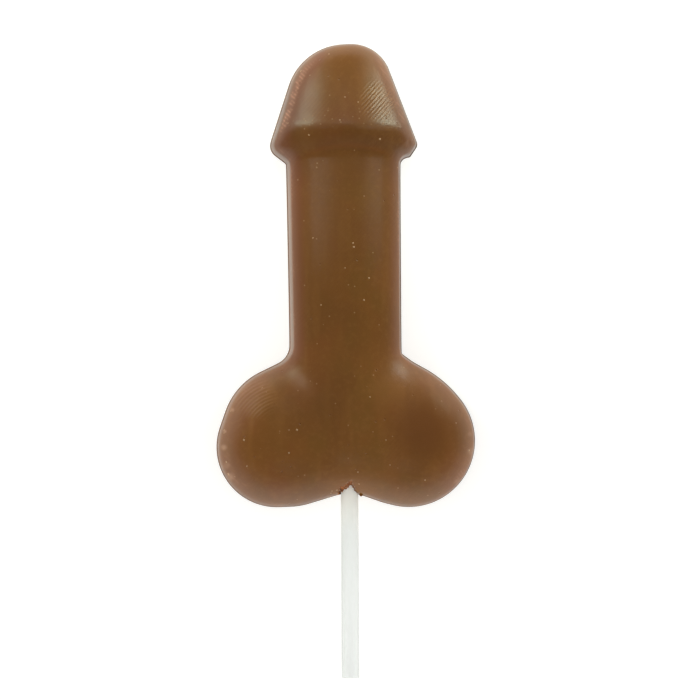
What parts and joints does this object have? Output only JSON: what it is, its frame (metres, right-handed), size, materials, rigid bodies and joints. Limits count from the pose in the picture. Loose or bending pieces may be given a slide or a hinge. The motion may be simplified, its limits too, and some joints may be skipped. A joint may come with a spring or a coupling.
{
  "type": "chocolate lollipop",
  "caption": "Adult novelty lollipop of milk chocolate: a rounded shaft with a domed cap and a pair of round lobes, cast with a flat back, on a straight paper stick.",
  "frame": {"origin": "on the plane of the flat back, under the middle of the whole's bounding box, lying front up", "axes": "+Y along the stick from its free end to the rounded tip, +Z out of the moulded front, +X to the right seen from the front"},
  "size_m": [0.067, 0.1638, 0.0167],
  "materials": {
    "chocolate": "satin",
    "paper": "matte"
  },
  "bodies": {
    "root": {"chocolate": "chocolate", "stick": "paper"}
  },
  "joints": []
}
